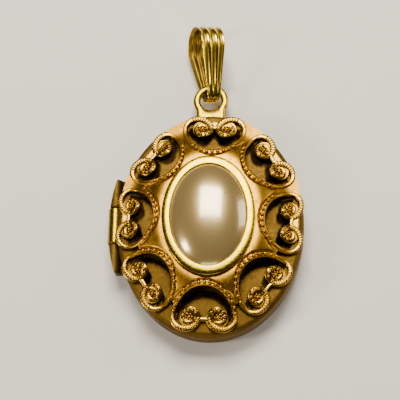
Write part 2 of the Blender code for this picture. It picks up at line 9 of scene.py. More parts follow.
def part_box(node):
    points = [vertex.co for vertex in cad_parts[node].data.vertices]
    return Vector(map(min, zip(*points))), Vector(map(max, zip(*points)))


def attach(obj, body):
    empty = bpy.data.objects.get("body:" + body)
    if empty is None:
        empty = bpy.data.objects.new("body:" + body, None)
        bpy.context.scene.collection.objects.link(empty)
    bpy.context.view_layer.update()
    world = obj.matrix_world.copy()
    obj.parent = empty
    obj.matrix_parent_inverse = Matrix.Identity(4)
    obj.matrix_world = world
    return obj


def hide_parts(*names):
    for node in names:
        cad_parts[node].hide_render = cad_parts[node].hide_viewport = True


# An oval hinged locket: pierced beaded front, pearl in a bezel, ring and fluted bail.
# Lengths below are millimetres; put() turns them into metres.

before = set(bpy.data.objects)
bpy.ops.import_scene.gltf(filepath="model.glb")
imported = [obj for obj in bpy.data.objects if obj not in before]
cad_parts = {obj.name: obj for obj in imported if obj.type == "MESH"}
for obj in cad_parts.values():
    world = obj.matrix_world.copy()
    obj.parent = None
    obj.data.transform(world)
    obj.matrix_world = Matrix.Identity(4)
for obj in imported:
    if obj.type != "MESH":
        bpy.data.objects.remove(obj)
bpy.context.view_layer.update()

MM = 0.001


def node_box(name):
    """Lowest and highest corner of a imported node, in millimetres."""
    low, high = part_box(name)
    return np.array(low) / MM, np.array(high) / MM


# ---- sizes
_, back_high = node_box("back_shell")
front_low, front_high = node_box("front_shell")
_, dome_high = node_box("openwork_dome")
pearl_low, pearl_high = node_box("pearl_cabochon")
bezel_low, bezel_high = node_box("pearl_bezel")
knuckle_low, knuckle_high = node_box("hinge_knuckle_middle")
outer_knuckle_low, outer_knuckle_high = node_box("hinge_knuckle_top")
pin_low, pin_high = node_box("hinge_pin")
ring_low, ring_high = node_box("suspension_ring")

FIT = 0.04                      # gap between pieces that are soldered or pressed together
RUNNING = 0.05                  # gap round pieces that turn

# Case
CASE_A, CASE_B = back_high[0], back_high[1]  # half width and half height
WALL = 0.45                     # sheet of both pans
EDGE_INSET, EDGE_RISE = 1.8, 1.6  # the back's rounded edge
SHOULDER = 0.7                  # radius of the front pan's shoulder
CROWN = 0.45                    # rise of the front plate, a quarter wave
CROWN_SHARE = 0.75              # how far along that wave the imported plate's flat middle lies
PLATE_Z = front_high[2] - CROWN * sin(CROWN_SHARE * pi / 2)

# Hinge
HINGE_X = (knuckle_low[0] + knuckle_high[0]) / 2
HINGE_Z = (knuckle_low[2] + knuckle_high[2]) / 2
KNUCKLE_R = (knuckle_high[2] - knuckle_low[2]) / 2
BORE_R, BORE_DEPTH = 0.3, 0.9
KNUCKLE_SOFT = 0.1              # radius of a knuckle's end edges
GROOVE_R = KNUCKLE_R + RUNNING
GROOVE_REACH = outer_knuckle_high[1] + 0.12
FILED_OUT_A, FILED_OUT_B = 1.1, 1.4  # the outer knuckles are filed to an oval outside the case

# Ring
RING_OUTER, RING_HOLE = 2.28, 1.35
RING_Y = ring_high[1] - RING_OUTER
RING_Z = (ring_low[2] + ring_high[2]) / 2
RING_HALF = (ring_high[2] - ring_low[2]) / 2

# Pearl
PEARL_A, PEARL_B = pearl_high[0], pearl_high[1]
PEARL_TOP = pearl_high[2]
GIRDLE_Z = pearl_low[2] + 0.3

# Openwork dome
SHEET = 0.4
DOME_A, DOME_B = dome_high[0], dome_high[1]  # at its foot
SEAT_A, SEAT_B = PEARL_A + 0.28, PEARL_B + 0.28  # at the bezel's seat
FOOT_Z = PLATE_Z + FIT + SHEET
SEAT_Z = dome_high[2]
TURN = radians(-3.0)            # the stamping sits slightly turned
TURNED = np.array([[cos(TURN), sin(TURN)], [-sin(TURN), cos(TURN)]])  # its x and y axes

# Its eight medallions, clockwise from the one at the ring
MEDALLIONS = range(8)
MEDALLION_A, MEDALLION_B = DOME_A - 1.45, DOME_B - 1.6  # oval through their centres
MEDALLION_ANGLES = np.radians([90.0, 41.6, 0.0, -41.6, -90.0, -138.4, 180.0, 138.4])
ARCH_HALF = 3.75                # half width along the line of beads
ARCH_HEIGHTS = (3.85, 3.6, 3.35, 3.6) * 2
BEADS_FROM = (42.0, 32.0, 34.0, 14.0, 4.0, 14.0, 34.0, 32.0)  # degrees past an arch's feet
BEAD, BEAD_PITCH = 0.25, 0.69
NOTCH = radians(22.0)           # where an arch meets the next one
OPENING_EDGE, FLANK_EDGE = 0.42, 0.27  # from the line of beads to the opening, and at the flanks
VOLUTE_PLACES = (1.52, 1.70, 1.56, 1.74, 1.72, 1.74, 1.56, 1.70)  # from the middle, sideways
VOLUTE_SIZES = (1.0, 0.95, 0.88, 0.95) * 2
VOLUTE_SHADE = (1.0, 1.0, 0.6, 0.1, 0.05, 0.1, 0.6, 1.0)  # width of the painted shade beside them

# Bail: two bends, BAIL_CENTRES apart, joined by straight leaves
BAIL_CENTRES = 6.25
BAIL_TOP_R, BAIL_FOOT_R = 2.9, 1.25
BAIL_FLARE = asin((BAIL_TOP_R - BAIL_FOOT_R) / BAIL_CENTRES)  # angle of a leaf to the length
BAIL_HALF_TOP, BAIL_HALF_FOOT = 1.6, 0.725  # half widths
BAIL_SHEET = 0.26
FLUTE_FOOT, FLUTE_DEEPER = 0.03, 0.19  # a flute's depth at the foot, and what it gains
BAIL_TWIST, BAIL_LEAN, BAIL_PITCH = radians(22.0), radians(5.0), radians(12.0)
BAIL_DROP, BAIL_LIFT, BAIL_FOOT_BELOW = 0.82, 0.1, 0.4  # its seat in the ring's arc
BAIL_PLACE = (Matrix.Translation((0.0, RING_Y + (RING_OUTER + RING_HOLE) / 2 - BAIL_DROP,
                                  RING_Z + BAIL_LIFT - BAIL_FOOT_BELOW * tan(BAIL_PITCH)))
              @ Matrix.Rotation(BAIL_LEAN, 4, "Z") @ Matrix.Rotation(BAIL_PITCH, 4, "X")
              @ Matrix.Rotation(BAIL_TWIST, 4, "Y"))


# ---- surfaces

def unit(vectors):
    """Vectors divided by their lengths."""
    return vectors / np.maximum(np.linalg.norm(vectors, axis=-1, keepdims=True), 1e-9)


def kept(value):
    """A value kept inside 0 to 1."""
    return np.clip(value, 0.0, 1.0)


def eased(share):
    """A share that starts and ends level: three of its squares less two of its cubes."""
    return share * share * (3 - 2 * share)


def squarer(wave, power):
    """A sine or cosine raised to a power with its sign kept, which squares a round section."""
    return np.sign(wave) * np.abs(wave) ** power


def all_round(count):
    """count angles, evenly spaced round a full turn."""
    return np.linspace(0.0, 2 * pi, count, endpoint=False)


def faces_of(points, around, along):
    """Quads of one or more grids (..., rows, columns, 3): each quad joins four neighbours.

    around joins the last column to the first, and along the last row to the first.
    """
    grid = points.reshape(-1, *points.shape[-3:])
    index = np.arange(grid.size // 3).reshape(grid.shape[:3])
    if along:
        index = np.concatenate([index, index[:, :1]], axis=1)
    if around:
        index = np.concatenate([index, index[:, :, :1]], axis=2)
    quads = np.stack([index[:, :-1, :-1], index[:, :-1, 1:], index[:, 1:, 1:], index[:, 1:, :-1]],
                     axis=-1)
    return grid.reshape(-1, 3), quads.reshape(-1, 4)


def put(name, grids, look, body, replaced, recess=None, closed=True, sharp=38.0):
    """One piece from its grids, each (points, around, along), with merged seams and poles.

    recess is a function of the points that gives, 0 to 1, how dark each one is painted: grime and
    patina, and on some pieces painted shade in the relief's depths and painted shadow on the plate.
    Edges sharper than sharp, in degrees, stay sharp.
    """
    corners, quads, start = [], [], 0
    for points, around, along in grids:
        some, faces = faces_of(points, around, along)
        corners.append(some)
        quads.append(faces + start)
        start += len(some)
    corners, quads = np.concatenate(corners), np.concatenate(quads)
    mesh = bpy.data.meshes.new(name)
    mesh.vertices.add(len(corners))
    mesh.vertices.foreach_set("co", (corners * MM).ravel())
    mesh.loops.add(quads.size)
    mesh.loops.foreach_set("vertex_index", quads.ravel())
    mesh.polygons.add(len(quads))
    mesh.polygons.foreach_set("loop_start", np.arange(0, quads.size, 4))
    mesh.update(calc_edges=True)
    bm = bmesh.new()
    bm.from_mesh(mesh)
    bmesh.ops.remove_doubles(bm, verts=bm.verts, dist=2e-8)
    if closed:
        bmesh.ops.recalc_face_normals(bm, faces=bm.faces)
    bm.to_mesh(mesh)
    bm.free()
    if recess is not None:
        flat = np.empty(len(mesh.vertices) * 3, np.float32)
        mesh.vertices.foreach_get("co", flat)
        depth = kept(recess(flat.reshape(-1, 3).astype(float) / MM))
        mesh.attributes.new("recess", "FLOAT", "POINT").data.foreach_set(
            "value", depth.astype(np.float32))
    mesh.shade_smooth()
    mesh.set_sharp_from_angle(angle=radians(sharp))
    mesh.materials.append(look)
    piece = bpy.data.objects.new(name, mesh)
    bpy.context.scene.collection.objects.link(piece)
    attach(piece, body)
    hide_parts(*replaced)
    return piece


def softened(corners, closed=False, steps=5):
    """A section of (out, up, radius) corners, each turned into a quadratic curve.

    The curve leaves the section radius before the corner and joins it radius after it.
    """
    corners = np.array(corners, float)
    place, radius = corners[:, :2], corners[:, 2:].copy()
    before, after = np.roll(place, 1, 0) - place, np.roll(place, -1, 0) - place
    if not closed:
        radius[[0, -1]] = 0.0
    k = np.linspace(0.0, 1.0, steps)[None, :, None]
    start, end = place + unit(before) * radius, place + unit(after) * radius
    curve = ((1 - k) ** 2 * start[:, None] + 2 * k * (1 - k) * place[:, None]
             + k ** 2 * end[:, None]).reshape(-1, 2)
    keep = np.r_[True, np.linalg.norm(np.diff(curve, axis=0), axis=1) > 1e-5]
    return curve[keep]


def oval_rings(a, b, z, columns=224):
    """Ovals of half widths a and b at heights z, one ring for each, all round."""
    t = all_round(columns)
    a, b, z = (np.asarray(v, float)[:, None] for v in (a, b, z))
    return np.stack([a * np.cos(t), b * np.sin(t), z + 0.0 * t], axis=-1)


def inset_rings(section, columns=224):
    """A section of (inset, height) carried round the case's outline; far in, it shrinks to a point.

    An inset up to a border is taken off both half widths, and the rest scales them down together.
    """
    border = 2.5
    inset, z = section[:, 0], section[:, 1]
    near = np.minimum(inset, border)
    share = 1.0 - kept((inset - near) / (CASE_A - border))
    return oval_rings((CASE_A - near) * share, (CASE_B - near) * share, z, columns)


def groove_half(points):
    """Half height of the hinge's groove over each point: a round bar along the hinge's axis."""
    across = np.clip(1.0 - ((points[..., 0] - HINGE_X) / GROOVE_R) ** 2, 0.0, None)
    return np.where(np.abs(points[..., 1]) < GROOVE_REACH, GROOVE_R * np.sqrt(across), 0.0)


def below_groove(points):
    """Points of the back half pressed down to the groove's lower side where it passes."""
    half = groove_half(points)
    lowest = np.where(half > 0.0, HINGE_Z - half, 1e3)
    points[..., 2] = np.minimum(points[..., 2], lowest)
    return points


def above_groove(points):
    """Points of the front half lifted to the groove's upper side where it passes."""
    half = groove_half(points)
    highest = np.where(half > 0.0, HINGE_Z + half, -1e3)
    points[..., 2] = np.maximum(points[..., 2], highest)
    return points


# ---- finishes

def node(tree, kind, values=None, **settings):
    """Adds a node: settings are its own, and values go to its inputs as numbers or links."""
    made = tree.nodes.new(kind)
    for key, value in settings.items():
        setattr(made, key, value)
    for key, value in (values or {}).items():
        if isinstance(value, bpy.types.NodeSocket):
            tree.links.new(value, made.inputs[key])
        else:
            made.inputs[key].default_value = value
    return made


def start_look(name, **fixed):
    """A material with its shader's own values set, and its tree and Object coordinates."""
    look = bpy.data.materials.new(name)
    look.use_nodes = True
    tree = look.node_tree
    shader = tree.nodes["Principled BSDF"]
    for key, value in fixed.items():
        shader.inputs[key.replace("_", " ")].default_value = value
    place = node(tree, "ShaderNodeTexCoord").outputs["Object"]
    return look, tree, shader, place


def noise(tree, place, scale, detail, roughness):
    """Noise of 0 to 1 over place, with scale cells to a metre."""
    return node(tree, "ShaderNodeTexNoise", {"Vector": place, "Scale": scale, "Detail": detail,
                                             "Roughness": roughness}).outputs["Fac"]


def spread(tree, value, low, high, to_low, to_high):
    """A value stretched from low..high to to_low..to_high, and kept inside it."""
    return node(tree, "ShaderNodeMapRange", {0: value, 1: low, 2: high, 3: to_low,
                                             4: to_high}).outputs[0]


def blend_colour(tree, share, first, second):
    """The first colour at share 0, the second at share 1."""
    mixed = node(tree, "ShaderNodeMix", {0: share, 6: first, 7: second}, data_type="RGBA")
    return mixed.outputs[2]


def arithmetic(tree, operation, first, second, clamp=False):
    """One operation on two values, kept inside 0 to 1 where clamp is set."""
    return node(tree, "ShaderNodeMath", {0: first, 1: second}, operation=operation,
                use_clamp=clamp).outputs[0]


def bumped(tree, shader, height, strength, distance):
    """Gives the shader a bump of the height, up to a distance in metres."""
    bump = node(tree, "ShaderNodeBump", {"Height": height, "Strength": strength,
                                         "Distance": distance})
    tree.links.new(bump.outputs["Normal"], shader.inputs["Normal"])


def metal(name, bright, dull, grime_and_shade, rough, grain=0.25, scratch=0.5, recessed=False):
    """Metal of mottled colour, with grime and painted shade, uneven gloss, fine grain and
    scratches.

    Slow clouds mix the bright and the dull colour. Grime covers specks and, where the piece has a
    recess attribute, its recesses, and roughens them; on some pieces that attribute is painted
    shade and painted shadow. Stretched noise gives the scratches.
    """
    look, tree, shader, place = start_look(name, Metallic=1.0)
    clouds = noise(tree, place, 420.0, 5.0, 0.62)
    fine = noise(tree, place, 3200.0, 3.0, 0.6)
    colour = blend_colour(tree, spread(tree, clouds, 0.35, 0.7, 0.0, 1.0),
                          (*bright, 1.0), (*dull, 1.0))
    speck = spread(tree, noise(tree, place, 1500.0, 4.0, 0.7), 0.52, 0.72, 0.0, 0.5)
    # the recess attribute: grime and patina on some pieces, painted shade and painted shadow on
    # others
    if recessed:
        depth = node(tree, "ShaderNodeAttribute", attribute_name="recess").outputs["Fac"]
        uneven = spread(tree, clouds, 0.3, 0.7, 0.75, 1.1)
        dirt_and_shade = arithmetic(tree, "MULTIPLY", depth, uneven, clamp=True)
        dirt_and_shade = arithmetic(tree, "MAXIMUM", dirt_and_shade, arithmetic(tree, "MULTIPLY", speck, 0.55))
    else:
        dirt_and_shade = arithmetic(tree, "MULTIPLY", speck, 0.45)
    colour = blend_colour(tree, dirt_and_shade, colour, (*grime_and_shade, 1.0))
    tree.links.new(colour, shader.inputs["Base Color"])
    gloss = spread(tree, fine, 0.3, 0.7, rough[0], rough[1])
    gloss = arithmetic(tree, "ADD", gloss, arithmetic(tree, "MULTIPLY", dirt_and_shade, 0.22), clamp=True)
    tree.links.new(gloss, shader.inputs["Roughness"])
    stretched = node(tree, "ShaderNodeMapping", {"Vector": place, "Rotation": (0.2, 0.3, 0.7),
                                                 "Scale": (260.0, 5200.0, 5200.0)}).outputs[0]
    lines = spread(tree, noise(tree, stretched, 1.0, 2.0, 0.5), 0.6, 0.68, 0.0, scratch)
    height = arithmetic(tree, "SUBTRACT", arithmetic(tree, "MULTIPLY", fine, grain), lines)
    bumped(tree, shader, height, 0.35, 2e-5)
    return look


def pearl_look():
    """Imitation pearl: a satin cream body under a clear glossy coat, with slow clouds of tone."""
    look, tree, shader, place = start_look(
        "pearl", Metallic=0.6, Coat_Weight=1.0, Coat_Roughness=0.13, Coat_IOR=1.95, IOR=1.5)
    clouds = noise(tree, place, 160.0, 3.0, 0.5)
    tone = blend_colour(tree, spread(tree, clouds, 0.3, 0.7, 0.0, 1.0),
                        (0.40, 0.285, 0.108, 1.0), (0.34, 0.23, 0.080, 1.0))
    flecks = spread(tree, noise(tree, place, 2600.0, 3.0, 0.6), 0.5, 0.75, 0.0, 0.25)
    tree.links.new(blend_colour(tree, flecks, tone, (0.42, 0.31, 0.15, 1.0)),
                   shader.inputs["Base Color"])
    tree.links.new(spread(tree, clouds, 0.3, 0.7, 0.24, 0.32), shader.inputs["Roughness"])
    bumped(tree, shader, noise(tree, place, 900.0, 3.0, 0.5), 0.08, 1e-5)
    return look


def card_look():
    """Aged card: cream stock with fibres and slow yellowing."""
    look, tree, shader, place = start_look("card")
    clouds = noise(tree, place, 130.0, 4.0, 0.6)
    colour = blend_colour(tree, spread(tree, clouds, 0.3, 0.7, 0.0, 1.0),
                          (0.74, 0.70, 0.60, 1.0), (0.66, 0.60, 0.47, 1.0))
    fibres = node(tree, "ShaderNodeMapping", {"Vector": place, "Scale": (900.0, 5000.0, 900.0)})
    strands = noise(tree, fibres.outputs[0], 1.0, 5.0, 0.7)
    colour = blend_colour(tree, spread(tree, strands, 0.5, 0.75, 0.0, 0.4), colour,
                          (0.56, 0.50, 0.38, 1.0))
    tree.links.new(colour, shader.inputs["Base Color"])
    tree.links.new(spread(tree, strands, 0.3, 0.7, 0.7, 0.9), shader.inputs["Roughness"])
    bumped(tree, shader, strands, 0.3, 2e-5)
    return look


def window_look():
    """Clear sheet with faint rubbed haze."""
    look, tree, shader, place = start_look("window", Transmission_Weight=1.0, IOR=1.49)
    rubbed = noise(tree, place, 500.0, 5.0, 0.65)
    tree.links.new(spread(tree, rubbed, 0.4, 0.75, 0.03, 0.2), shader.inputs["Roughness"])
    tree.links.new(blend_colour(tree, spread(tree, rubbed, 0.4, 0.8, 0.0, 0.5),
                                (0.95, 0.97, 0.95, 1.0), (0.90, 0.92, 0.86, 1.0)),
                   shader.inputs["Base Color"])
    return look


# Each metal: its bright and dull colours, its grime and painted shade colour, and its lowest and
# highest roughness
antique_gold = metal("antique_gold", (0.42, 0.215, 0.016), (0.30, 0.145, 0.009),
                     (0.016, 0.006, 0.001), (0.28, 0.40), recessed=True)
# the pierced sheet's underside, near black: painted shade seen through the openings
openwork_back_painted_shade = metal("openwork_back_painted_shade", (0.030, 0.014, 0.004), (0.018, 0.008, 0.003),
                      (0.010, 0.005, 0.002), (0.4, 0.6))
# its near-black grime colour is also the painted shadow on the front plate's openings
case_gold = metal("case_gold", (0.132, 0.073, 0.012), (0.094, 0.051, 0.008),
                  (0.002, 0.001, 0.001), (0.48, 0.62), recessed=True)
relief_gold = metal("relief_gold", (0.46, 0.26, 0.028), (0.32, 0.17, 0.016),
                    (0.024, 0.009, 0.002), (0.20, 0.30), recessed=True)
polished_gold = metal("polished_gold", (0.45, 0.315, 0.001), (0.38, 0.25, 0.001),
                      (0.16, 0.06, 0.005), (0.15, 0.24), grain=0.12, scratch=0.3, recessed=True)
bail_gold = metal("bail_gold", (0.96, 0.68, 0.060), (0.82, 0.55, 0.042), (0.10, 0.045, 0.006),
                  (0.14, 0.23), grain=0.12, scratch=0.3, recessed=True)
brass_look = metal("polished_brass", (0.38, 0.255, 0.006), (0.30, 0.19, 0.004),
                   (0.05, 0.025, 0.004), (0.22, 0.32), recessed=True)
inner_brass = metal("inner_brass", (0.70, 0.47, 0.13), (0.58, 0.38, 0.10), (0.12, 0.07, 0.02),
                    (0.16, 0.30))
pin_steel = metal("pin_steel", (0.56, 0.54, 0.50), (0.44, 0.42, 0.38), (0.10, 0.07, 0.05),
                  (0.25, 0.40))
pearl_finish = pearl_look()
card_finish = card_look()
window_finish = window_look()


# ---- back half

def back_case():
    """The back pan: a flat field, an elliptic edge and an upright wall, with the same inside."""
    top = back_high[2]
    inner_inset, inner_rise = EDGE_INSET - WALL, EDGE_RISE - WALL
    edge = np.linspace(0.0, pi / 2, 12)
    outside = np.stack([EDGE_INSET * (1 - np.sin(edge)), EDGE_RISE * (1 - np.cos(edge))], axis=1)
    inside = np.stack([WALL + inner_inset * (1 - np.sin(edge[::-1])),
                       WALL + inner_rise * (1 - np.cos(edge[::-1]))], axis=1)
    wall = np.stack([np.zeros(9), np.linspace(1.7, top - 0.06, 9)], axis=1)
    lip = softened([(0.0, top - 0.06, 0), (0.0, top, 0.06), (WALL, top, 0.04),
                    (WALL, top - 0.06, 0)])
    inner_wall = np.stack([np.full(9, WALL), np.linspace(top - 0.1, 1.65, 9)], axis=1)
    floor = np.linspace(1.0, 0.0, 10)[:, None] ** 1.5
    reach = EDGE_INSET + (CASE_A - EDGE_INSET) * floor
    field_out = np.concatenate([reach, 0.0 * floor], axis=1)
    field_in = np.concatenate([reach[::-1], WALL + 0.0 * floor], axis=1)
    section = np.concatenate([field_out, outside[1:], wall, lip[1:], inner_wall, inside[1:],
                              field_in[1:]])
    return below_groove(inset_rings(section))


def snap_band():
    """The upright band inside the seam, a rounded strip, relieved round the hinge's groove."""
    low, high = node_box("snap_rim")
    thickness = 0.35
    outer = CASE_A - high[0]
    inner = outer + thickness
    section = softened([(outer, low[2], 0.06), (outer, HINGE_Z - 0.5, 0), (outer, HINGE_Z, 0),
                        (outer, HINGE_Z + 0.35, 0), (outer + 0.04, high[2], 0.1),
                        (inner, high[2], 0.1), (inner, low[2], 0.06)], closed=True)
    rings = inset_rings(section)
    half = np.sqrt(np.clip(GROOVE_R ** 2 - (rings[..., 2] - HINGE_Z) ** 2, 0.0, None))
    beside = (np.abs(rings[..., 1]) < GROOVE_REACH) & (rings[..., 0] < 0)
    rings[..., 0] = np.where(beside, np.maximum(rings[..., 0], HINGE_X + half), rings[..., 0])
    return rings


def plain_disc(name):
    """A thin oval sheet with softened rims, filling a node's box."""
    low, high = node_box(name)
    inset, thick = CASE_A - high[0], high[2] - low[2]
    r = thick * 0.3
    section = softened([(CASE_A, low[2], 0), (inset, low[2], r), (inset, high[2], r),
                        (CASE_A, high[2], 0)])
    return inset_rings(section, 192)


def photo_frame(name, opens_up):
    """An angle-section oval: an upright skirt and a flat lip whose inner rim is rolled."""
    low, high = node_box(name)
    sheet, lip_width = 0.24, 1.8
    outer = CASE_A - high[0]
    lip = outer + lip_width
    base, crest = (low[2], high[2]) if opens_up else (high[2], low[2])
    up = 1.0 if opens_up else -1.0
    section = softened([
        (outer, base, 0.05), (outer, crest, 0.09), (outer + sheet, crest, 0.09),
        (outer + sheet, base + up * sheet, 0.12), (lip - 0.5, base + up * sheet, 0.1),
        (lip - 0.3, base + up * (sheet + 0.07), 0.1), (lip, base + up * (sheet + 0.04), 0.09),
        (lip, base, 0.06)], closed=True)
    return inset_rings(section)


def ring_surface():
    """The ring: a rounded flat section carried round its hole.

    Its outer radius is a circle that eases into two straight flanks down to the case, where the
    foot is let into the wall.
    """
    foot_half, let_in = 1.98, 0.2
    turn = all_round(144)
    down = np.maximum(-np.sin(turn), 1e-3)
    side = np.abs(np.cos(turn))
    case_top = CASE_B * np.sqrt(1 - (1.2 / CASE_A) ** 2) - let_in
    to_case = (RING_Y - case_top) / down
    to_flank = foot_half / np.maximum(side + 0.12 * kept(down - 0.5), 1e-3)
    foot = np.minimum(to_case, to_flank)
    blend = eased(kept((-np.sin(turn) - 0.42) / 0.4))
    outer = RING_OUTER + (np.maximum(foot, RING_OUTER) - RING_OUTER) * blend
    psi = all_round(28)
    out, up = squarer(np.cos(psi), 0.78), squarer(np.sin(psi), 0.85)
    middle, half = (outer + RING_HOLE) / 2, (outer - RING_HOLE) / 2
    radius = middle[:, None] + half[:, None] * out[None]
    return np.stack([radius * np.cos(turn)[:, None], RING_Y + radius * np.sin(turn)[:, None],
                     RING_Z + RING_HALF * up[None] + 0.0 * radius], axis=-1)


def ring_grime(points):
    """Grime in the ring's hole and where its foot meets the case."""
    radius = np.hypot(points[:, 0], points[:, 1] - RING_Y)
    hole = kept((RING_HOLE + 0.12 - radius) / 0.15) * 0.5
    foot = kept((CASE_B + 0.35 - points[:, 1]) / 0.4) * 0.7
    return np.maximum(hole, foot)


# ---- hinge

def round_hinge(radius, y, t):
    """Points at a radius and angle t round the hinge's axis, at y along it."""
    return np.stack([HINGE_X + radius * np.cos(t), y + 0.0 * t, HINGE_Z + radius * np.sin(t)],
                    axis=-1)


def knuckle(y_ends, lugged, blind=0):
    """A tube along the hinge: rows run along it, from inside the bore at one end to the other.

    A lugged knuckle's section reaches the case's wall below the seam, and is filed off at an oval
    just outside the case. blind is the end without a bore: -1, 1 or 0.
    """
    low, high = y_ends
    ends = [(BORE_R, low + BORE_DEPTH), (BORE_R, low), (KNUCKLE_R - KNUCKLE_SOFT, low)]
    ends += [(KNUCKLE_R - KNUCKLE_SOFT * (1 - sin(t)), low + KNUCKLE_SOFT * (1 - cos(t)))
             for t in (pi / 6, pi / 3, pi / 2)]
    body = [(KNUCKLE_R, y) for y in np.linspace(low + 0.25, high - 0.25, 15)]
    far = [(r, low + high - y) for r, y in reversed(ends)]
    if blind == -1:
        ends[:2] = [(0.0, low)]
    if blind == 1:
        far[-2:] = [(0.0, high)]
    rows = np.array(ends + body + far)
    radius, y = rows[:, :1], rows[:, 1:]
    t = all_round(48)[None]
    points = round_hinge(radius, y, t)
    if lugged:
        x, z = points[..., 0], points[..., 2]
        wall = -CASE_A * np.sqrt(1 - (y / CASE_B) ** 2)
        filed = -(CASE_A + FILED_OUT_A) * np.sqrt(1 - (y / (CASE_B + FILED_OUT_B)) ** 2)
        lug = (np.cos(t) > 0) & (np.sin(t) < 0.05) & (radius > 0.6 * KNUCKLE_R)
        reach = np.clip(np.cos(t), 0, None) ** 0.35
        x = np.where(lug, x + reach * np.maximum(wall - x, 0.0), x)
        points[..., 0] = np.maximum(x, filed)
        points[..., 2] = np.where(lug, np.minimum(z, HINGE_Z - 0.06), z)
    return points


def hinge_grime(points):
    """Grime towards the case, and where knuckles meet."""
    near = kept((points[:, 0] - HINGE_X - 0.35) / 0.5)
    joint = np.abs(np.abs(points[:, 1]) - (knuckle_high[1] + RUNNING))
    return np.maximum(near, kept(1 - joint / 0.25)) * 0.8


def pin_rod():
    """The hinge pin: a round rod with chamfered ends."""
    low, high = pin_low[1], pin_high[1]
    r = (pin_high[0] - pin_low[0]) / 2
    rows = np.array([(0.0, low), (r * 0.7, low), (r, low + 0.07), (r, 0.0), (r, high - 0.07),
                     (r * 0.7, high), (0.0, high)])
    t = all_round(32)[None]
    return round_hinge(rows[:, :1], rows[:, 1:], t)


# ---- front half

def front_case():
    """The shallow front pan: a straight wall, a rounded shoulder and a slightly crowned plate."""
    low = front_low[2]
    wall_top = PLATE_Z - SHOULDER
    bend = np.linspace(0.0, pi / 2, 10)
    crown = np.r_[np.linspace(0.0, 0.55, 60), np.linspace(0.6, 1.0, 6)]
    plate = np.stack([SHOULDER + (CASE_A - SHOULDER) * crown,
                      PLATE_Z + CROWN * np.sin(crown * pi / 2)], axis=1)
    outside = np.stack([SHOULDER * (1 - np.cos(bend)), wall_top + SHOULDER * np.sin(bend)], axis=1)
    wall = np.stack([np.zeros(9), np.linspace(wall_top - 0.02, low + 0.06, 9)], axis=1)
    lip = softened([(0.0, low + 0.06, 0), (0.0, low, 0.06), (WALL, low, 0.05),
                    (WALL, low + 0.06, 0)])
    bow = SHOULDER - WALL
    inner_wall = np.stack([np.full(6, WALL), np.linspace(low + 0.1, wall_top, 6)], axis=1)
    inner_bend = np.stack([WALL + bow * (1 - np.cos(bend)), wall_top + bow * np.sin(bend)], axis=1)
    inner_plate = plate - [0.0, WALL]
    section = np.concatenate([plate[::-1], outside[::-1][1:], wall, lip[1:], inner_wall,
                              inner_bend[1:], inner_plate[1:]])
    return above_groove(inset_rings(section))


def medallion(index):
    """A medallion's centre in plan, and its directions outward and across, to the right of that."""
    t = MEDALLION_ANGLES[index]
    centre = np.array([MEDALLION_A * cos(t), MEDALLION_B * sin(t)]) @ TURNED
    out = unit(np.array([cos(t) / MEDALLION_A, sin(t) / MEDALLION_B]) @ TURNED)
    return centre, out, np.array([out[1], -out[0]])


def sheet_over(x, y):
    """Whether the openwork covers a plan point, if it lies in a mouth, and its way to a volute.

    The sheet reaches to the dome's foot. A medallion's mouth is half an ellipse under its arch and
    the strip beyond it, less the two round volutes. The way is divided by the volute's shade.
    """
    far, disc_radius, strip = 9.0, 1.25, 0.3
    covered = (x / DOME_A) ** 2 + (y / DOME_B) ** 2 < 1.0
    mouth, beside = np.zeros(np.shape(x), bool), np.full(np.shape(x), far)
    for index in MEDALLIONS:
        centre, out, along = medallion(index)
        across = (x - centre[0]) * along[0] + (y - centre[1]) * along[1]
        outward = (x - centre[0]) * out[0] + (y - centre[1]) * out[1]
        disc = (np.hypot(np.abs(across) - VOLUTE_PLACES[index], outward)
                - disc_radius * VOLUTE_SIZES[index])
        depth = np.where(outward < 0.0, outward / (ARCH_HEIGHTS[index] - OPENING_EDGE), 0.0)
        inside = (across / (ARCH_HALF - OPENING_EDGE)) ** 2 + depth ** 2 < 1.0
        covered &= ~(inside & (disc > 0.0))
        mouth |= inside & (outward < strip)
        beside = np.where(inside, np.minimum(beside, disc / VOLUTE_SHADE[index]), beside)
    return covered, mouth, beside


def plate_painted_shadow(points):
    """Painted shadow on the plate: under the sheet, and in the mouths on the sides towards the
    ring.

    Each point looks for the sheet in growing steps, along a direction that leans away from the
    middle line. The painted shadow is full up to 0.9 from the sheet's edge and fades over another
    0.35. Painted shade also lies beside the volutes, and thinly where they touch.
    """
    x, y = points[:, 0], points[:, 1]
    _, mouth, beside = sheet_over(x, y)
    lean = np.arctan(0.09 * x)
    reach = np.full(len(x), 9.0)
    for step in np.arange(1.3, -0.05, -0.1):
        covered, _, _ = sheet_over(x + step * np.sin(lean), y + step * np.cos(lean))
        reach = np.where(covered, step, reach)
    # painted shadow cast from the sheet's edge, and painted shade beside the volutes
    cast_shade = np.maximum(kept((1.25 - reach) / 0.35), kept((0.75 - beside) / 0.3))
    # painted contact shade where the volutes meet the plate
    contact_shade = kept((0.2 - beside) / 0.2) * 0.6
    on_plate = points[:, 2] > PLATE_Z - 0.1
    return np.where(on_plate, np.where(mouth, cast_shade, contact_shade), 0.0)


def dome_share(x, y):
    """How far a point lies from the bezel's seat (0) to the dome's foot (1).

    The ovals between them have half widths that grow in step; the share is found by halving.
    """
    low, high = np.full(np.shape(x), -0.3), np.full(np.shape(x), 1.3)
    for _ in range(24):
        middle = (low + high) / 2
        outside = (x / (SEAT_A + middle * (DOME_A - SEAT_A))) ** 2 \
            + (y / (SEAT_B + middle * (DOME_B - SEAT_B))) ** 2 > 1.0
        low, high = np.where(outside, middle, low), np.where(outside, high, middle)
    return (low + high) / 2


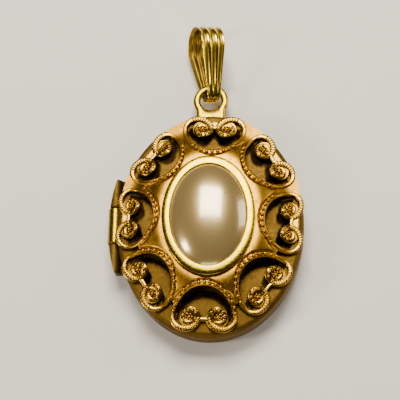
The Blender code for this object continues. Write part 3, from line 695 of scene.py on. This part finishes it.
def dome_height(x, y):
    """The dome's top: half a cosine wave from the seat down to the foot."""
    fall = kept((dome_share(x, y) - 0.1) / 0.8)
    return FOOT_Z + (SEAT_Z - FOOT_Z) * 0.5 * (1 + np.cos(pi * fall))


def laid(index, across, outward):
    """Plan points of a medallion from lengths across it and outward from its centre."""
    centre, out, along = medallion(index % 8)
    return centre + np.asarray(across)[..., None] * along + np.asarray(outward)[..., None] * out


def on_dome(plan, lift=0.0):
    """Plan points raised to the dome, and by lift."""
    z = dome_height(plan[..., 0], plan[..., 1]) + lift
    return np.concatenate([plan, z[..., None]], axis=-1)


def arch(index, angle, grow):
    """An arch over the volutes: half an ellipse, grown outward by grow, at angles 0 to pi."""
    height = ARCH_HEIGHTS[index % 8]
    return laid(index, (ARCH_HALF + grow) * np.cos(angle), -(height + grow) * np.sin(angle))


def between(first, last, count):
    """count points after first, evenly spaced and ending on last."""
    k = np.arange(1, count + 1)[:, None] / count
    return first + (last - first) * k


def web_sector(index):
    """One medallion's share of the pierced sheet, as rulings from its opening to its outline.

    The outline is the right flank, the line shared with the next medallion, the bezel's seat, the
    line shared with the one before, and the left flank. Heights follow the dome, with a rolled
    edge, a fine rim and a groove outside the beads, each a function of the distance from the edge.
    """
    def corner(which):
        """Where the flanks of a medallion and the next one meet."""
        return (arch(which, NOTCH, FLANK_EDGE) + arch(which + 1, pi - NOTCH, FLANK_EDGE)) / 2

    def seat_angle(which):
        """The seat's angle halfway between a medallion and the next one."""
        after = MEDALLION_ANGLES[(which + 1) % 8]
        here = MEDALLION_ANGLES[which % 8]
        return here + ((after - here + pi) % (2 * pi) - pi) / 2

    def seat(angle):
        """The oval of the bezel's seat."""
        return np.stack([SEAT_A * np.cos(angle), SEAT_B * np.sin(angle)], axis=-1) @ TURNED

    right, left = corner(index), corner(index - 1)
    first, last = seat_angle(index), seat_angle(index - 1)
    last += 2 * pi * round((first - last) / (2 * pi)) if abs(first - last) > pi else 0.0
    flank = np.linspace(0.0, NOTCH, 12)
    to_corner = 4               # steps from a flank's end to the corner
    right_foot, left_foot = arch(index, flank, FLANK_EDGE), arch(index, pi - flank, FLANK_EDGE)
    spine, rim = 16, 44         # steps along a shared line, and along the seat
    outline = np.concatenate([
        right_foot, between(right_foot[-1], right, to_corner),
        between(right, seat(np.array(first)), spine),
        seat(first + (last - first) * np.arange(1, rim) / rim),
        np.concatenate([between(left, seat(np.array(last)), spine)[::-1], left[None]]),
        between(left_foot[-1], left, to_corner)[:-1][::-1], left_foot[::-1]])
    turn = NOTCH + radians(22.0)
    side = to_corner + spine + 1
    angle = np.concatenate([
        flank, np.linspace(NOTCH, turn, side)[1:], np.linspace(turn, pi - turn, rim + 1)[1:-1],
        np.linspace(pi - turn, pi - NOTCH, side)[:-1], pi - flank[::-1]])
    edge = -FLANK_EDGE - (OPENING_EDGE - FLANK_EDGE) * np.sin(angle) ** 0.5
    inner = arch(index, angle, edge)
    away = outline - inner
    length = np.linalg.norm(away, axis=-1)
    near = np.array([0.0, 0.02, 0.05, 0.09, 0.14, 0.19, 0.25, 0.32, 0.4, 0.5, 0.6, 0.68, 0.76,
                     0.84, 0.92])
    rows = 26
    k = np.arange(rows)
    ramp = np.where(k[:, None] < len(near), near[np.minimum(k, len(near) - 1)][:, None],
                    near[-1] + (length - near[-1]) * ((k - len(near) + 1)
                                                     / (rows - len(near)))[:, None])
    distance = np.minimum(length * (k / (rows - 1))[:, None], ramp)
    plan = inner + unit(away) * distance[..., None]
    free = np.zeros(len(angle))
    free_columns = len(flank) + to_corner
    free[:free_columns] = free[-free_columns:] = 1.0
    to_outline = length - distance
    fine_rim = 0.09 * np.exp(-((distance - 0.13) / 0.09) ** 2)
    rolled_edge = 0.10 * (1 - np.minimum(distance / 0.10, 1)) ** 2
    free_edge = 0.10 * free * (1 - np.minimum(to_outline / 0.12, 1)) ** 2
    groove = 0.15 * (1 - free) * np.exp(-((distance - OPENING_EDGE - 0.36) / 0.09) ** 2)
    return on_dome(plan, fine_rim - rolled_edge - free_edge - groove)


def ball(rows=5, columns=8):
    """A unit ball as rings from pole to pole."""
    lat = np.linspace(-pi / 2, pi / 2, rows + 1)[:, None]
    lon = all_round(columns)[None]
    return np.stack([np.cos(lat) * np.cos(lon), np.cos(lat) * np.sin(lon),
                     np.sin(lat) + 0.0 * lon], axis=-1)


def beads(centres, directions, along, across, up):
    """Balls at centres; half lengths along a plan direction, across it and upward."""
    shape = ball()
    ahead = np.concatenate([unit(directions), np.zeros((len(directions), 1))], axis=1)
    aside = np.stack([-ahead[:, 1], ahead[:, 0], ahead[:, 2]], axis=1)
    size = [np.broadcast_to(np.asarray(v, float), len(centres))[:, None, None, None]
            for v in (along, across, up)]
    upward = np.array([0.0, 0.0, 1.0])
    return (centres[:, None, None] + shape[None, ..., :1] * size[0] * ahead[:, None, None]
            + shape[None, ..., 1:2] * size[1] * aside[:, None, None]
            + shape[None, ..., 2:] * size[2] * upward)


def evenly(path, pitch, ends=0.5):
    """Points a pitch apart along a plan path, with the directions there."""
    step = np.linalg.norm(np.diff(path, axis=0), axis=1)
    run = np.r_[0.0, np.cumsum(step)]
    count = max(2, int(round(run[-1] / pitch)))
    at = (np.arange(count) + ends) * run[-1] / (count - 1 + 2 * ends)
    spots = np.stack([np.interp(at, run, path[:, i]) for i in range(2)], axis=1)
    ahead = np.stack([np.interp(at, run, np.gradient(path[:, i], run)) for i in range(2)], axis=1)
    return spots, ahead


def arch_beads(index):
    """Round beads along an arch's centre line, on its side towards the bezel."""
    start = radians(BEADS_FROM[index])
    path = arch(index, np.linspace(start, pi - start, 160), 0.0)
    spots, ahead = evenly(path, BEAD_PITCH)
    return beads(on_dome(spots, 0.10), ahead, BEAD, BEAD, 0.95 * BEAD)


def arch_rims(index):
    """Rounded rims on an arch's two flanks, which thin out where the beads begin."""
    angle = np.linspace(radians(-10.0), radians(BEADS_FROM[index] + 8.0), 40)
    half = BEAD * np.sqrt(kept(np.minimum(np.linspace(0.0, 8.0, 40),
                                          np.linspace(4.0, 0.0, 40)))) + 1e-4
    return [ribbon(arch(index, some, 0.0), half, 0.32, 0.13, 0.0) for some in (angle, pi - angle)]


def notch_fill(index):
    """The sheet between two medallions of the upper half, ruled from one flank to the next.

    It lies a little below the dome's surface, and its underside closes onto it at both ends.
    """
    angle = np.linspace(NOTCH, radians(-21.0), 16)
    near, far = arch(index, angle, 0.1), arch(index + 1, pi - angle, 0.1)
    share = np.linspace(0.0, 1.0, 9)[None, :, None]
    top = on_dome(near[:, None] + (far - near)[:, None] * share, -0.09)
    under = top[:, ::-1].copy()
    under[1:-1, :, 2] -= 0.26
    return np.concatenate([top, under], axis=1)


def scroll(index, side, share):
    """A volute's centre line: a spiral of 1.4 turns that leaves the arch's foot.

    Its radius falls as a quadratic in the share of the way, plus a bump that fades early and
    carries it out to the flank. It turns from the flank past the rim towards the middle.
    """
    place, size = VOLUTE_PLACES[index], VOLUTE_SIZES[index]
    reach = size * (1.27 - 0.52 * share - 0.30 * share ** 2)
    reach = reach + (ARCH_HALF - place - 1.27 * size) * np.exp(-(share / 0.14) ** 2)
    turn = 2 * pi * 1.4 * share
    return laid(index, side * (place + reach * np.cos(turn)), reach * np.sin(turn))


def ribbon(path, half, low, high, lift):
    """A band along a plan path: a rounded section, half wide each side.

    It reaches low below the dome's surface and high above it, both raised by lift, and gets
    thinner where it narrows.
    """
    ahead = unit(np.gradient(path, axis=0))
    aside = np.stack([-ahead[:, 1], ahead[:, 0]], axis=1)
    psi = all_round(14)
    out = squarer(np.cos(psi), 0.7)
    rise = np.where(np.sin(psi) > 0, np.abs(np.sin(psi)) ** 0.8 * high,
                    -np.abs(np.sin(psi)) ** 0.5 * low)
    plan = path[:, None] + aside[:, None] * (half[:, None] * out[None])[..., None]
    base = dome_height(path[:, 0], path[:, 1])[:, None]
    taper = np.minimum(half / half.max() * 1.6, 1.0)[:, None]
    z = base + lift + rise[None] * taper
    return np.concatenate([plan, z[..., None]], axis=-1)


def volute(index, side):
    """A volute: a floor, a broad curled leaf with ribs and then beads on it, and a beaded core."""
    share = np.linspace(0.0, 1.0, 130)
    place, size = VOLUTE_PLACES[index], VOLUTE_SIZES[index]
    path = scroll(index, side, share)
    close = np.sqrt(kept(np.minimum(share / 0.015, (1 - share) / 0.03)))
    half = np.interp(share, (0.0, 0.08, 0.2, 0.4, 0.6, 0.8, 1.0),
                     (0.25, 0.33, 0.40, 0.40, 0.36, 0.30, 0.16)) * size * close
    made = [ribbon(path, half + 1e-4, 0.42, 0.13, 0.0)]
    spots, ahead = evenly(scroll(index, side, np.linspace(0.08, 0.36, 80)), 0.34 * size)
    made.append(beads(on_dome(spots, 0.08), ahead, 0.14 * size, 0.36 * size, 0.14))
    spots, ahead = evenly(scroll(index, side, np.linspace(0.40, 0.80, 80)), 0.47 * size)
    made.append(beads(on_dome(spots, 0.12), ahead, 0.22 * size, 0.25 * size, 0.19))
    spin = all_round(6)
    across, outward = np.r_[0.0, 0.36 * np.cos(spin)], np.r_[0.0, 0.36 * np.sin(spin)]
    core = laid(index, side * place + across * size, outward * size)
    width = np.r_[0.26, np.full(6, 0.15)] * size
    made.append(beads(on_dome(core, 0.10), np.tile([[1.0, 0.0]], (7, 1)), width, width, width))
    # The floor lies up to 0.38 below the dome, so its recess paints it dark: painted shade between
    # the turns.
    spin = all_round(28)[None]
    reach = np.array([0.0, 0.5, 1.0, 1.0, 0.5, 0.0])[:, None] * 1.22 * size
    plan = laid(index, side * place + reach * np.cos(spin), reach * np.sin(spin))
    sink = np.array([-0.07, -0.07, -0.10, -0.38, -0.38, -0.38])[:, None] + 0.0 * spin
    made.append(on_dome(plan, sink))
    return made


def joining_bar(index):
    """The flat bar between a medallion's two volutes, and in the upper half the sheet beyond it."""
    reach = VOLUTE_PLACES[index] - 0.9 * VOLUTE_SIZES[index]
    k = np.linspace(-1.0, 1.0, 15)
    path = laid(index, k * reach, 0.20 + 0.10 * k ** 2)
    made = [ribbon(path, 0.24 + 0.06 * k ** 2, 0.35, 0.12, 0.0)]
    if index in (0, 1, 2, 6, 7):
        path = laid(index, k * (reach + 0.5), 0.68 + 0.0 * k)
        made.append(ribbon(path, 0.46 + 0.0 * k, 0.30, 0.05, -0.10))
    return made


def openwork_recess(points):
    """How far a point lies below the dome's own height: 0 on top of the relief, 1 in its depths,
    which it paints dark as patina and painted shade.
    """
    below = dome_height(points[:, 0], points[:, 1]) - points[:, 2]
    return np.clip(below / 0.30, 0.0, 0.85)


def pearl_dome():
    """The cabochon: a flat back, a short girdle and an elliptic dome."""
    low = pearl_low[2]
    t = np.linspace(0.0, pi / 2, 40)
    share = np.r_[0.0, 0.5, (PEARL_A - 0.1) / PEARL_A, 1.0, np.cos(t)]
    z = np.r_[low, low, low, low + 0.1, GIRDLE_Z + (PEARL_TOP - GIRDLE_Z) * np.sin(t)]
    share[-1] = 0.0
    return oval_rings(PEARL_A * share, PEARL_B * share, z)


def bezel_collet():
    """The bezel: a ledge under the pearl, a flange on the dome, and a lip over the pearl.

    Its section is carried round the pearl's oval; inside that, it grows more lengthwise.
    """
    low, crest = bezel_low[2], bezel_high[2]
    seat = SEAT_Z + FIT
    lip_z = crest - 0.06
    share = sqrt(1 - ((lip_z - GIRDLE_Z) / (PEARL_TOP - GIRDLE_Z)) ** 2)
    lip = PEARL_A * (share - 1) + FIT
    ledge = pearl_low[2] - FIT
    section = softened([
        (-0.8, low, 0.06), (0.24, low, 0.06), (0.24, seat, 0.02), (0.62, seat, 0.03),
        (0.64, crest - 0.10, 0.09), (0.25, crest - 0.01, 0.2),
        (lip + 0.1, crest, 0.08), (lip, lip_z - 0.02, 0.05), (lip * 0.45, lip_z - 0.5, 0.05),
        (FIT, GIRDLE_Z, 0.03), (FIT, ledge, 0.03), (-0.8, ledge, 0.06)], closed=True)
    grow, z = section[:, 0], section[:, 1]
    longer = np.where(grow < 0, 1.42, 1.0)
    return oval_rings(PEARL_A + grow, PEARL_B + grow * longer, z)


def bezel_painted_shade(points):
    """Painted shade in the angle between the bezel and the dome, and under its lip."""
    foot = kept((SEAT_Z + 0.22 - points[:, 2]) / 0.16)
    inside = (points[:, 0] / (PEARL_A - 0.38)) ** 2 + (points[:, 1] / (PEARL_B - 0.52)) ** 2 < 1
    return np.maximum(foot * 0.7, np.where(inside, 0.25, 0.0))


# ---- bail

def bail_band():
    """The bail: a closed loop of fluted sheet.

    Its length runs over a wide bend, down one leaf, round a narrow bend and up the other. Across
    it, four rounded ribs share the width, which tapers to the foot, where the flutes fade.
    """
    top = np.linspace(-BAIL_FLARE, pi + BAIL_FLARE, 36)
    foot = np.linspace(pi + BAIL_FLARE, 2 * pi - BAIL_FLARE, 26)
    over = np.stack([BAIL_TOP_R * np.cos(top), BAIL_CENTRES + BAIL_TOP_R * np.sin(top)], axis=1)
    under = np.stack([BAIL_FOOT_R * np.cos(foot), BAIL_FOOT_R * np.sin(foot)], axis=1)
    path = np.concatenate([over, between(over[-1], under[0], 34)[:-1], under,
                           between(under[-1], over[0], 34)[:-1]])
    ahead = unit(np.roll(path, -1, 0) - np.roll(path, 1, 0))
    outward = np.stack([ahead[:, 1], -ahead[:, 0]], axis=1)
    y = path[:, 1]
    half = np.clip(BAIL_HALF_FOOT + (BAIL_HALF_TOP - BAIL_HALF_FOOT) * (y + 1.6) / 7.8,
                   BAIL_HALF_FOOT, BAIL_HALF_TOP)
    deep = FLUTE_FOOT + FLUTE_DEEPER * eased(kept((y + 0.6) / 2.2))
    k = np.linspace(-1.0, 1.0, 57)
    q = np.sin(k * pi / 2) * 0.35 + k * 0.65
    rib = (0.5 - 0.5 * np.cos(3 * pi * (q + 1))) ** 1.25
    thick = BAIL_SHEET * np.sqrt(1 - np.abs(q) ** 14)
    outer = -deep[:, None] * rib[None] - (BAIL_SHEET - thick)[None] / 2
    inner = outer - thick[None]
    offset = np.concatenate([outer, inner[:, ::-1][:, 1:-1]], axis=1)
    across = np.concatenate([q, q[::-1][1:-1]])
    x = half[:, None] * across[None]
    inplane = path[:, None] + outward[:, None] * offset[..., None]
    local = np.stack([x, inplane[..., 1], -inplane[..., 0]], axis=-1)
    place = np.array(BAIL_PLACE)
    return local @ place[:3, :3].T + place[:3, 3]


def bail_grime(points):
    """Grime in the flutes and on the inside of the loop, from each point's depth in the sheet."""
    place = np.array(BAIL_PLACE.inverted())
    local = points @ place[:3, :3].T + place[:3, 3]
    y, depth = local[:, 1], np.abs(local[:, 2])
    share = kept(y / BAIL_CENTRES)
    leaf = (BAIL_FOOT_R + (BAIL_TOP_R - BAIL_FOOT_R) * share) / cos(BAIL_FLARE)
    bend = np.where(y > BAIL_CENTRES, BAIL_TOP_R - np.hypot(depth, y - BAIL_CENTRES),
                    np.where(y < 0, BAIL_FOOT_R - np.hypot(depth, y), leaf - depth))
    return np.where(bend > BAIL_SHEET, 0.9, kept((bend - 0.05) / 0.15) * 0.85)


# ---- assembly

BACK, FRONT = "back_half", "front_half"

put("back_case", [(back_case(), True, False)], case_gold, BACK, ["back_shell"])
put("snap_band", [(snap_band(), True, True)], inner_brass, BACK, ["snap_rim"])
for half, body in (("back", BACK), ("front", FRONT)):
    photo = half + "_photo_"
    for part, look in (("card", card_finish), ("window", window_finish)):
        put(half + "_" + part, [(plain_disc(photo + part), True, False)], look, body,
            [photo + part])
    put(half + "_frame", [(photo_frame(photo + "frame", body == BACK), True, True)], inner_brass,
        body, [photo + "frame"])
put("ring_and_foot", [(ring_surface(), True, True)], brass_look, BACK,
    ["suspension_ring"], recess=ring_grime)
for side, name in ((1, "hinge_knuckle_top"), (-1, "hinge_knuckle_bottom")):
    ends = sorted(side * np.array([outer_knuckle_low[1], outer_knuckle_high[1]]))
    put(name + "_filed", [(knuckle(ends, True, side), True, False)], case_gold, BACK,
        [name], recess=hinge_grime)
put("pin", [(pin_rod(), True, False)], pin_steel, BACK, ["hinge_pin"])

# The front plate carries painted shadow in the openings through its recess attribute.
put("front_case", [(front_case(), True, False)], case_gold, FRONT, ["front_shell"],
    recess=plate_painted_shadow)
put("hinge_tube_middle", [(knuckle((knuckle_low[1], knuckle_high[1]), False), True, False)],
    brass_look, FRONT, ["hinge_knuckle_middle"], recess=hinge_grime)

web = put("openwork_web", [(web_sector(i), False, False) for i in MEDALLIONS], antique_gold, FRONT,
          ["openwork_dome"], recess=openwork_recess, closed=False)
wall = web.modifiers.new("sheet", "SOLIDIFY")
wall.thickness = (SHEET - 0.02) * MM
wall.offset = -1.0
wall.use_even_offset = False
# the sheet's underside takes the near-black painted shade
wall.material_offset = 1
web.data.materials.append(openwork_back_painted_shade)
RELIEF = (  # the raised work on the web: a piece's name, its grids and its look
    ("openwork_beads", [arch_beads(i) for i in MEDALLIONS], relief_gold),
    ("openwork_rims", [grid for i in MEDALLIONS for grid in arch_rims(i)]
     + [notch_fill(i) for i in (0, 1, 6, 7)], antique_gold),
    ("openwork_volutes", [grid for i in MEDALLIONS for side in (-1, 1) for grid in volute(i, side)]
     + [grid for i in MEDALLIONS for grid in joining_bar(i)], relief_gold))
for name, grids, look in RELIEF:
    put(name, [(grid, True, False) for grid in grids], look, FRONT,
        ["openwork_dome"], recess=openwork_recess)
put("bezel", [(bezel_collet(), True, True)], polished_gold, FRONT,
    ["pearl_bezel"], recess=bezel_painted_shade)
put("pearl", [(pearl_dome(), True, False)], pearl_finish, FRONT, ["pearl_cabochon"])
put("bail_fluted", [(bail_band(), True, True)], bail_gold, "bail", ["bail"],
    recess=bail_grime)


# ---- floor, lights, camera

def floor_look():
    """Pale matt board with slow clouds of tone."""
    look, tree, shader, place = start_look("floor", Roughness=0.85)
    clouds = noise(tree, place, 6.0, 3.0, 0.5)
    tree.links.new(blend_colour(tree, clouds, (0.78, 0.76, 0.73, 1.0), (0.74, 0.72, 0.69, 1.0)),
                   shader.inputs["Base Color"])
    return look


def floor():
    """A flat square, 3 m wide, just under the locket."""
    half, drop = 1500.0, 0.02
    u = np.linspace(-half, half, 5)
    x, y = np.meshgrid(u, u, indexing="ij")
    corners, quads = faces_of(np.stack([x, y, 0.0 * x - drop], axis=-1), False, False)
    mesh = bpy.data.meshes.new("floor")
    mesh.from_pydata((corners * MM).tolist(), [], quads.tolist())
    mesh.materials.append(floor_look())
    sheet = bpy.data.objects.new("floor", mesh)
    bpy.context.scene.collection.objects.link(sheet)


def softbox(name, place, target, size, power, colour):
    """A rectangular lamp at place that faces target; lengths in millimetres."""
    lamp = bpy.data.lights.new(name, "AREA")
    lamp.shape = "RECTANGLE"
    lamp.size, lamp.size_y = size[0] * MM, size[1] * MM
    lamp.energy = power
    lamp.color = colour
    held = bpy.data.objects.new(name, lamp)
    held.location = Vector(place) * MM
    held.rotation_euler = (Vector(place) - Vector(target)).to_track_quat("Z", "Y").to_euler()
    bpy.context.scene.collection.objects.link(held)


def surroundings():
    """A dim warm room."""
    world = bpy.data.worlds.new("studio")
    bpy.context.scene.world = world
    world.use_nodes = True
    back = world.node_tree.nodes["Background"]
    back.inputs["Color"].default_value = (1.0, 0.97, 0.93, 1.0)
    back.inputs["Strength"].default_value = 0.02


def camera():
    """A long lens above the locket, a little towards its foot and right."""
    yaw, pitch, roll = radians(4.4), radians(21.5), radians(0.4)
    target, distance = Vector((0.0, 0.0, 3.0)), 130.0
    aside, above = -1.24, 2.99  # moves the locket to its place in the view
    back = Vector((sin(yaw) * cos(pitch), -sin(pitch), cos(yaw) * cos(pitch)))
    level = Vector((0.0, 1.0, 0.0)).cross(back).normalized()
    upright = back.cross(level)
    right = level * cos(roll) + upright * sin(roll)
    up = upright * cos(roll) - level * sin(roll)
    lens = bpy.data.cameras.new("camera")
    lens.lens = 95.1
    lens.sensor_width = 36.0
    lens.clip_start, lens.clip_end = 0.005, 10.0
    eye = bpy.data.objects.new("camera", lens)
    place = target + back * distance + right * aside + up * above
    turn = Matrix((right, up, back)).transposed().to_4x4()
    eye.matrix_world = Matrix.Translation(place * MM) @ turn
    bpy.context.scene.collection.objects.link(eye)
    bpy.context.scene.camera = eye


floor()
surroundings()
softbox("key", (5.0, 110.0, 205.0), (0.0, 0.0, 5.0), (120.0, 105.0), 0.95, (1.0, 0.93, 0.78))
softbox("left", (-250.0, -80.0, 190.0), (0.0, 0.0, 4.0), (60.0, 90.0), 0.50, (1.0, 0.90, 0.74))
softbox("right", (300.0, 110.0, 85.0), (0.0, 0.0, 4.0), (140.0, 220.0), 0.50, (1.0, 0.91, 0.76))
softbox("front", (0.0, -320.0, 160.0), (0.0, 0.0, 4.0), (240.0, 120.0), 0.46, (1.0, 0.93, 0.80))
camera()
